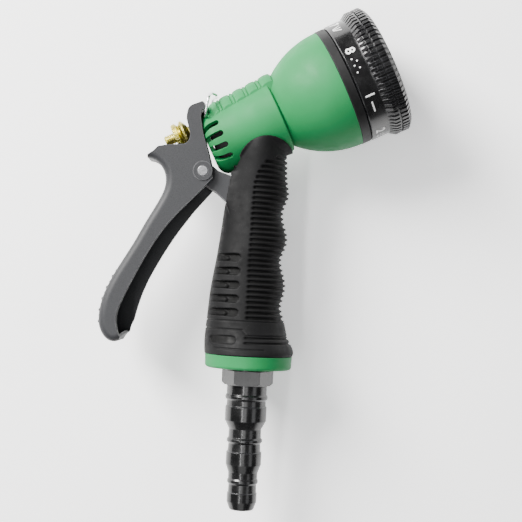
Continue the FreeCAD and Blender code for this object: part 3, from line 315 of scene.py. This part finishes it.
def grip_rubber():
    """Soft black rubber with a bloom of dust in patches, fine stipple, a low sheen, and painted shade that
    darkens its grooves and recesses by their depth.
    """
    look = Look("grip_rubber", roughness=0.62, specular=0.12)
    look.set("Sheen Weight", 0.03)
    look.set("Sheen Roughness", 0.5)
    bloom = look.noise(60.0, detail=5.0, rough=0.6)
    body = look.mixed((0.003, 0.003, 0.0033), (0.008, 0.008, 0.0084), look.between(bloom, 0.3, 0.7))
    dust = look.between(look.cells(900.0), 0.12, 0.02, 0.0, 0.35)
    dusty = look.mixed(body, (0.10, 0.10, 0.10), dust)
    # Painted shade: grooves and recesses are painted darker the deeper they are sunk.
    sunk = look.node("ShaderNodeAttribute", attribute_name="sunk").outputs["Fac"]
    look.colour(look.mixed(dusty, (0.001, 0.001, 0.001), look.between(sunk, 0.2, 0.8, 0.0, 0.95)))
    look.roughness_between(0.5, 0.72, look.noise(350.0, detail=4.0))
    look.bump(look.noise(2200.0, detail=3.0), 0.04 * MM, 0.5)
    return look.material


def black_plastic(name, smooth, rough, coat, tone, specular):
    """Black moulded plastic, from glossy to matt, with scuffs and edges painted paler as wear and as a
    painted highlight.
    """
    look = Look(name, roughness=smooth, specular=specular, coat=coat, coat_roughness=0.12)
    scuffs = look.noise(120.0, detail=6.0, rough=0.65)
    body = look.mixed((tone, tone, tone * 1.06), (tone * 2.0, tone * 2.0, tone * 2.1),
                      look.between(scuffs, 0.4, 0.8))
    # Edges painted paler: partly wear, partly a painted highlight.
    look.colour(look.mixed(body, (0.09, 0.09, 0.10), look.between(look.edges(), 0.0, 1.0, 0.0, 0.35)))
    look.roughness_between(smooth, rough, scuffs)
    look.bump(look.noise(1800.0, detail=2.0), 0.02 * MM, 0.35)
    return look.material


def brass():
    """Turned brass gone olive in places, with lathe lines across the spray axis."""
    look = Look("brass", roughness=0.3, metallic=1.0)
    tarnish = look.noise(420.0, detail=5.0, rough=0.6)
    body = look.mixed((0.52, 0.44, 0.06), (0.20, 0.19, 0.05), look.between(tarnish, 0.38, 0.66))
    # Edges painted bright brass: partly rubbed wear, partly a painted highlight.
    look.colour(look.mixed(body, (0.85, 0.78, 0.34), look.between(look.edges(), 0.0, 1.0, 0.0, 0.8)))
    look.roughness_between(0.22, 0.42, tarnish)
    turn = -math.atan2(HEAD_AXIS.y, HEAD_AXIS.x)
    lines = look.noise(1.0, detail=2.0, place=look.stretched(9000.0, 200.0, 200.0, turn))
    look.bump(lines, 0.02 * MM, 0.5)
    return look.material


def bright_steel():
    """Drawn stainless wire and plated springs: bright, with fine lines and faint stains."""
    look = Look("steel", roughness=0.2, metallic=1.0)
    stains = look.noise(300.0, detail=4.0)
    look.colour_between((0.74, 0.74, 0.75), (0.50, 0.49, 0.47), look.between(stains, 0.5, 0.8))
    look.roughness_between(0.14, 0.32, stains)
    look.bump(look.noise(1.0, place=look.stretched(900.0, 900.0, 6000.0)), 0.01 * MM, 0.5)
    return look.material


def satin_pin():
    """Cut end of the trigger pin: satin metal with turning marks."""
    look = Look("pin_metal", roughness=0.38, metallic=0.75)
    marks = look.noise(1500.0, detail=4.0)
    look.colour_between((0.16, 0.16, 0.165), (0.27, 0.27, 0.28), look.between(marks, 0.35, 0.65))
    look.roughness_between(0.3, 0.5, marks)
    look.bump(marks, 0.02 * MM, 0.5)
    return look.material


def seal_rubber():
    """Smooth dark sealing rubber with a dull film."""
    look = Look("seal_rubber", roughness=0.5, specular=0.4)
    film = look.noise(500.0, detail=4.0)
    look.colour_between((0.012, 0.012, 0.012), (0.035, 0.034, 0.033), look.between(film, 0.35, 0.7))
    look.roughness_between(0.4, 0.6, film)
    look.bump(film, 0.02 * MM, 0.4)
    return look.material


def white_print():
    """White pad-printed ink with thin spots and worn grain."""
    look = Look("white_print", roughness=0.5)
    wear = look.noise(2400.0, detail=4.0)
    look.colour_between((0.80, 0.80, 0.79), (0.50, 0.50, 0.50), look.between(wear, 0.55, 0.8))
    look.roughness_between(0.4, 0.6, wear)
    look.bump(wear, 0.01 * MM, 0.4)
    return look.material


def dress_nodes(looks):
    """Give every CAD node its material."""
    wearing = {
        "green": ["rear_housing", "front_housing", "base_collar"],
        "grey": ["trigger"],
        "core": ["inner_body"],
        "gloss": ["hose_barb", "spray_dial", "dial_cap"],
        "matt": ["head_collar", "spray_core", "dial_face"],
        "rubber": ["grip_sleeve"],
        "seal": ["inlet_washer", "stem_seal", "valve_plug", "core_o_ring", "port_seal"],
        "brass": ["valve_stem", "adjusting_nut", "gland_nut", "plug_backing", "spring_seat"],
        "steel": ["return_spring", "hold_open_clip", "core_screws", "detent_ball", "detent_spring",
                  "centre_screw", "screw_washer", "inlet_screen"],
        "pin": ["trigger_pin"]}
    for look, names in wearing.items():
        for name in names:
            mesh = nodes[name].data
            mesh.materials.clear()
            mesh.materials.append(looks[look])


# ---------------------------------------------------------------- ribbed rubber grip

# Lengths in this section are plain millimetres, except where MM turns them into metres.
GRIP_CELL = 0.55 * MM
GRIP_STRETCH = 2.0
BEYOND_GRIP = 60.0                 # an x past the grip's edge, for slots that run off it
RIB_PITCH = 2.55
RIB_LOW = 95.6
RIB_HIGH = 176.5
RIB_HALF = 0.72
RIB_FADE = 0.6
RIB_DEPTH = 1.05
RECESS_COUNT = 5
RECESS_LOW = 98.1
RECESS_PITCH = 6.72
RECESS_END = -6.0
RECESS_HALF = 1.85
RECESS_DEPTH = 1.9
BAR_END = -12.4
BAR_DROP = 0.55
BAR_HALF = 1.0
BAR_RISE = 1.3
# Further slots: x from, x to, height, half width, soft edge, depth.
SLOTS = [
    (-BEYOND_GRIP, BEYOND_GRIP, 94.0, 0.3, 0.3, 0.4),       # seam below the lowest rib
    (-19.5, -6.3, 84.8, 1.95, 0.35, 0.7),                   # pill-shaped recess in the foot
    (-2.0, BEYOND_GRIP, 86.0, 0.45, 0.4, 0.75),             # two grooves beside it
    (-2.0, BEYOND_GRIP, 83.6, 0.45, 0.4, 0.75),
    (-17.0, 8.0, 80.5, 0.35, 0.35, 0.4)]                    # groove below them
SHOULDER_LOW = 136.0
SHOULDER_HIGH = 175.0
SHOULDER_FADE = 4.0
BRACKET_SIDE = 9.9                 # just outside the slot where the trigger bracket comes out
BRACKET_FADE = 0.9
SOFTEN_ROUNDS = 90
SOFTEN_SHARE = 0.6


def smooth_step(value):
    """0 below 0, 1 above 1, with a smooth turn between."""
    value = np.clip(value, 0, 1)
    return value * value * (3 - 2 * value)


def slot_mask(x, y, start, end, height, half, soft=0.35):
    """1 inside a round-ended slot along X at that height, falling to 0 over its soft edge."""
    past = np.maximum(np.maximum(start + half - x, x - end + half), 0)
    distance = np.hypot(past, y - height)
    return smooth_step((half - distance) / soft + 0.5)


def rib_start(y):
    """Where the rib grooves start at each height: a straight edge that curves away at the top."""
    heights = [90, 96, 125, 161, 167, 172, 176.5]
    starts = [-1.7, -1.9, -1.9, -1.2, 0.7, 3.8, 13.0]
    return np.interp(y, heights, starts)


def palm_edge(y):
    """X of the grip's outline on the palm side at each height."""
    return np.interp(y, [90, 98, 111, 126], [-22.1, -21.5, -20.4, -18.2])


def grip_relief(x, y):
    """How deep the grip's surface is sunk at (x, y), in millimetres."""
    depth = np.zeros_like(x)
    # fine grooves round the finger side
    for row in range(int((RIB_HIGH - RIB_LOW) / RIB_PITCH) + 1):
        height = RIB_LOW + RIB_PITCH * row
        groove = slot_mask(x, y, rib_start(height), BEYOND_GRIP, height, RIB_HALF, RIB_FADE)
        depth = np.maximum(depth, RIB_DEPTH * groove)
    # five deep recesses on the palm side, each with a raised bar at its outer end
    for row in range(RECESS_COUNT):
        height = RECESS_LOW + RECESS_PITCH * row
        recess = slot_mask(x, y, -BEYOND_GRIP, RECESS_END, height, RECESS_HALF)
        bar = slot_mask(x, y, -BEYOND_GRIP, BAR_END, height - BAR_DROP, BAR_HALF)
        runs_out = 1 - smooth_step((palm_edge(y) + 3.2 - x) / 2.6)
        sunk = RECESS_DEPTH * recess - BAR_RISE * bar * recess
        depth = np.maximum(depth, sunk * runs_out)
    # seam between the ribbed part and the foot, with a jog between its two halves
    step = np.interp(x, [-3.4, -1.2], [89.9, 87.2])
    depth = np.maximum(depth, 0.45 * smooth_step((0.32 - np.abs(y - step)) / 0.3 + 0.5))
    for start, end, height, half, soft, sunk in SLOTS:
        depth = np.maximum(depth, sunk * slot_mask(x, y, start, end, height, half, soft))
    return depth


def fine_copy(name, node, cell, stretch):
    """A closed, evenly divided, slightly smoothed copy of a node, finer along Y by stretch."""
    mesh = nodes[node].data.copy()
    mesh.transform(Matrix.Diagonal((1, stretch, 1, 1)))
    piece = bpy.data.objects.new(name, mesh)
    bpy.context.scene.collection.objects.link(piece)
    divide = piece.modifiers.new("even", "REMESH")
    divide.mode = "VOXEL"
    divide.voxel_size = cell
    divide.use_smooth_shade = True
    even_out = piece.modifiers.new("soften", "SMOOTH")
    even_out.factor, even_out.iterations = 0.5, 4
    bpy.context.view_layer.update()
    seen = piece.evaluated_get(bpy.context.evaluated_depsgraph_get())
    even = bpy.data.meshes.new_from_object(seen)
    piece.modifiers.clear()
    piece.data = even
    even.transform(Matrix.Diagonal((1, 1 / stretch, 1, 1)))
    even.name = name
    return piece


def soften_shoulder(mesh, places):
    """Melt the shoulder over the bracket's root into the oval, outside the bracket's slot."""
    x, y, z = places.T
    share = smooth_step((y - SHOULDER_LOW) / SHOULDER_FADE)
    share *= smooth_step((SHOULDER_HIGH - y) / SHOULDER_FADE)
    share *= smooth_step((np.abs(z) - BRACKET_SIDE) / BRACKET_FADE) * smooth_step((-3 - x) / 3)
    pairs = np.zeros(len(mesh.edges) * 2, dtype=np.int64)
    mesh.edges.foreach_get("vertices", pairs)
    pairs = pairs.reshape(-1, 2)
    pairs = pairs[(share[pairs] > 0).any(axis=1)]
    start = np.concatenate([pairs[:, 0], pairs[:, 1]])
    end = np.concatenate([pairs[:, 1], pairs[:, 0]])
    count = np.maximum(np.bincount(start, minlength=len(places)), 1)
    for _ in range(SOFTEN_ROUNDS):
        for axis in range(3):
            near = np.bincount(start, weights=places[end, axis], minlength=len(places)) / count
            places[:, axis] += SOFTEN_SHARE * share * (near - places[:, axis])
    return places


def make_grip(look):
    """The rubber grip with its grooves, recesses and seams sunk into the CAD shape."""
    piece = fine_copy("grip_rubber_sleeve", "grip_sleeve", GRIP_CELL, GRIP_STRETCH)
    mesh = piece.data
    count = len(mesh.vertices)
    places = np.zeros(count * 3)
    mesh.vertices.foreach_get("co", places)
    places = soften_shoulder(mesh, places.reshape(-1, 3) / MM)
    normals = np.zeros(count * 3)
    mesh.vertex_normals.foreach_get("vector", normals)
    normals = normals.reshape(-1, 3)
    outward = places * (1, 0, 1)
    outward /= np.linalg.norm(outward, axis=1)[:, None]
    # no relief on ledges and ends, which don't face outward
    facing = smooth_step((np.sum(normals * outward, axis=1) - 0.2) / 0.3)
    depth = grip_relief(places[:, 0], places[:, 1]) * facing
    places -= outward * depth[:, None]
    mesh.vertices.foreach_set("co", (places * MM).ravel())
    # The depth is kept on the mesh as sunk, which the rubber's material uses to paint shade in the
    # grooves.
    sunk = mesh.attributes.new("sunk", "FLOAT", "POINT")
    sunk.data.foreach_set("value", np.clip(depth, 0, 1).astype(np.float32))
    mesh.update()
    mesh.materials.clear()
    mesh.materials.append(look)
    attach(piece, "body")
    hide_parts("grip_sleeve")


# ---------------------------------------------------------------- dial marks

BAND_MIDDLE = -5.7 * MM             # from the dial's pivot, along the spray axis
BAND_RADIUS = 30.3 * MM
FIRST_TURN = math.radians(-31)      # of the first pair: 0 is up, positive the thumb's side
DIGIT_SHIFT = -3.6 * MM
DIGIT_SIZE = 6.6 * MM
SIGN_SHIFT = 2.6 * MM
INK = 0.06 * MM
INK_ROOT = -0.05 * MM
DOT_SIDES = 16
# One beside each outlet in the dial's face. Cone stands by seven small holes, and mist by one
# wide opening, so those two fit their outlets only loosely.
SPRAY_SIGNS = ["flat", "ring", "shower", "fan", "drops", "jet", "cone", "mist"]


def prism(form, outline, thickness):
    """A flat closed piece of that outline, from just under the surface to thickness above it."""
    lower = [form.verts.new((a, h, INK_ROOT)) for a, h in outline]
    upper = [form.verts.new((a, h, thickness)) for a, h in outline]
    form.faces.new(list(reversed(lower)))
    form.faces.new(upper)
    for k in range(len(outline)):
        after = (k + 1) % len(outline)
        form.faces.new((lower[k], lower[after], upper[after], upper[k]))


def dot(form, a, h, radius, thickness):
    """A round printed dot."""
    turns = [2 * math.pi * k / DOT_SIDES for k in range(DOT_SIDES)]
    prism(form, [(a + radius * math.cos(t), h + radius * math.sin(t)) for t in turns], thickness)


def stroke(form, start, end, width, thickness):
    """A straight printed line from start to end, with enough corners to follow the band."""
    first, last = Vector(start), Vector(end)
    side = (last - first).normalized().orthogonal() * width / 2
    steps = max(1, math.ceil((last - first).length / (0.7 * MM)))
    spine = [first.lerp(last, k / steps) for k in range(steps + 1)]
    corners = [place + side for place in reversed(spine)] + [place - side for place in spine]
    prism(form, [(c.x, c.y) for c in corners], thickness)


def numeral(form, digit, a, h, size, thickness):
    """A printed digit, centred at (a, h)."""
    curve = bpy.data.curves.new("digit", "FONT")
    curve.body = str(digit)
    curve.size = size
    curve.align_x = "CENTER"
    curve.align_y = "CENTER"
    curve.extrude = thickness / 2
    curve.offset = 0.02 * size
    holder = bpy.data.objects.new("digit", curve)
    bpy.context.scene.collection.objects.link(holder)
    bpy.context.view_layer.update()
    seen = holder.evaluated_get(bpy.context.evaluated_depsgraph_get())
    mesh = bpy.data.meshes.new_from_object(seen)
    mesh.transform(Matrix.Translation((a, h, thickness / 2)))
    form.from_mesh(mesh)
    bpy.data.objects.remove(holder)
    bpy.data.meshes.remove(mesh)


def spray_sign(form, kind, a, h, ink):
    """A small generic sign for one spray pattern, centred at (a, h)."""
    unit = 1.25 * MM
    if kind == "cone":
        for lean in (-0.5, 0.0, 0.5):
            stroke(form, (a + lean * unit, h - 1.6 * unit), (a + 4 * lean * unit, h + 1.6 * unit),
                   0.45 * unit, ink)
    if kind == "jet":
        dot(form, a, h - 1.5 * unit, 0.55 * unit, ink)
        stroke(form, (a, h - 0.6 * unit), (a, h + 2.0 * unit), 0.6 * unit, ink)
    if kind == "flat":
        stroke(form, (a - 2.2 * unit, h), (a + 2.2 * unit, h), 0.6 * unit, ink)
    if kind == "fan":
        for rise in (-0.8, 0.8):
            stroke(form, (a - 2.0 * unit, h + rise * unit), (a + 2.0 * unit, h + rise * unit),
                   0.5 * unit, ink)
    if kind == "ring":
        for k in range(8):
            turn = 2 * math.pi * k / 8
            dot(form, a + 1.5 * unit * math.cos(turn), h + 1.5 * unit * math.sin(turn), 0.32 * unit, ink)
    if kind == "shower":
        for k in range(9):
            dot(form, a + (k % 3 - 1) * 1.3 * unit, h + (k // 3 - 1) * 1.3 * unit, 0.34 * unit, ink)
    if kind in ("drops", "mist"):
        radius = 0.55 if kind == "drops" else 0.34
        for k in range(3 if kind == "drops" else 5):
            dot(form, a + (k - 1) * 1.4 * unit, h + (k % 2 - 0.5) * 1.6 * unit, radius * unit, ink)


def wrap_on_dial(piece, first_turn):
    """Lay a flat drawing (round, along, outward) onto the dial's band by casting rays at it."""
    skin = BVHTree.FromObject(nodes["spray_dial"], bpy.context.evaluated_depsgraph_get())
    band = BAND_MIDDLE * HEAD_AXIS + DIAL_PIVOT
    for vertex in piece.data.vertices:
        turn = first_turn - vertex.co.x / BAND_RADIUS
        out = UP * math.cos(turn) + HEAD_ACROSS * math.sin(turn)
        base = band + HEAD_AXIS * vertex.co.y
        hit, normal, _, _ = skin.ray_cast(base + out * 2 * BAND_RADIUS, -out)
        vertex.co = hit + normal * vertex.co.z


def make_dial_marks(look):
    """White numbers and spray signs round the dial's band, one pair for each pattern."""
    form = bmesh.new()
    spacing = 2 * math.pi / len(SPRAY_SIGNS)
    for index, kind in enumerate(SPRAY_SIGNS):
        a = index * spacing * BAND_RADIUS
        numeral(form, index + 1, a + DIGIT_SHIFT, 0.0, DIGIT_SIZE, INK)
        spray_sign(form, kind, a + SIGN_SHIFT, 0.0, INK)
    bmesh.ops.remove_doubles(form, verts=form.verts, dist=1e-7)
    mesh = bpy.data.meshes.new("dial_marks")
    form.to_mesh(mesh)
    form.free()
    piece = bpy.data.objects.new("dial_marks", mesh)
    bpy.context.scene.collection.objects.link(piece)
    wrap_on_dial(piece, FIRST_TURN)
    mesh.materials.append(look)
    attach(piece, "dial")


# ---------------------------------------------------------------- trigger nubs

NUB_ROWS = 11
NUB_LOW = 6.8 * MM                  # first row, above the trigger's foot
NUB_PITCH = 2.8 * MM
NUB_RADIUS = 0.95 * MM
NUB_HEIGHT = 0.75 * MM
NUB_SIDES = 12
# Rings from root to top: level as a share of the height, width as a share of the radius.
NUB_RINGS = ((-0.3, 1.0), (0.0, 1.0), (0.45, 0.9), (0.8, 0.6), (0.97, 0.25))


def dome(form, place, outward, radius, height):
    """A closed low dome standing on a surface, sunk slightly into it."""
    across = outward.cross(UP).normalized()
    along = outward.cross(across)
    rings = []
    for level, share in NUB_RINGS:
        ring = []
        for k in range(NUB_SIDES):
            turn = 2 * math.pi * k / NUB_SIDES
            side = across * math.cos(turn) + along * math.sin(turn)
            ring.append(form.verts.new(place + outward * level * height + side * share * radius))
        rings.append(ring)
    for lower, upper in zip(rings, rings[1:]):
        for k in range(NUB_SIDES):
            after = (k + 1) % NUB_SIDES
            form.faces.new((lower[k], lower[after], upper[after], upper[k]))
    form.faces.new(list(reversed(rings[0])))
    form.faces.new(rings[-1])


def make_nubs(look):
    """Staggered rows of small grip nubs on the lower back of the trigger."""
    skin = BVHTree.FromObject(nodes["trigger"], bpy.context.evaluated_depsgraph_get())
    form = bmesh.new()
    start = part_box("trigger")[0].x - 0.01
    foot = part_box("trigger")[0].y
    for row in range(NUB_ROWS):
        height = foot + NUB_LOW + NUB_PITCH * row
        sides = (-7.5, -2.5, 2.5, 7.5) if row % 2 else (-5.0, 0.0, 5.0)
        for side in sides:
            hit, normal, _, _ = skin.ray_cast(Vector((start, height, side * MM)), Vector((1, 0, 0)))
            dome(form, hit, normal, NUB_RADIUS, NUB_HEIGHT)
    mesh = bpy.data.meshes.new("trigger_nubs")
    form.to_mesh(mesh)
    form.free()
    for face in mesh.polygons:
        face.use_smooth = True
    mesh.materials.append(look)
    piece = bpy.data.objects.new("trigger_nubs", mesh)
    bpy.context.scene.collection.objects.link(piece)
    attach(piece, "trigger")


# ---------------------------------------------------------------- the scene

make_camera()
make_floor()
make_light()
LOOKS = {
    "green": green_plastic(),
    "grey": trigger_plastic("grey_plastic"),
    "core": trigger_plastic("core_plastic", painted_shade_above=CORE_PAINTED_SHADE_FROM),
    "rubber": grip_rubber(),
    "gloss": black_plastic("black_gloss", smooth=0.18, rough=0.32, coat=0.25, tone=0.003,
                           specular=0.4),
    "matt": black_plastic("black_matt", smooth=0.42, rough=0.6, coat=0.0, tone=0.004,
                          specular=0.2),
    "brass": brass(),
    "steel": bright_steel(),
    "pin": satin_pin(),
    "seal": seal_rubber(),
    "print": white_print()}
dress_nodes(LOOKS)
make_grip(LOOKS["rubber"])
make_dial_marks(LOOKS["print"])
make_nubs(LOOKS["grey"])
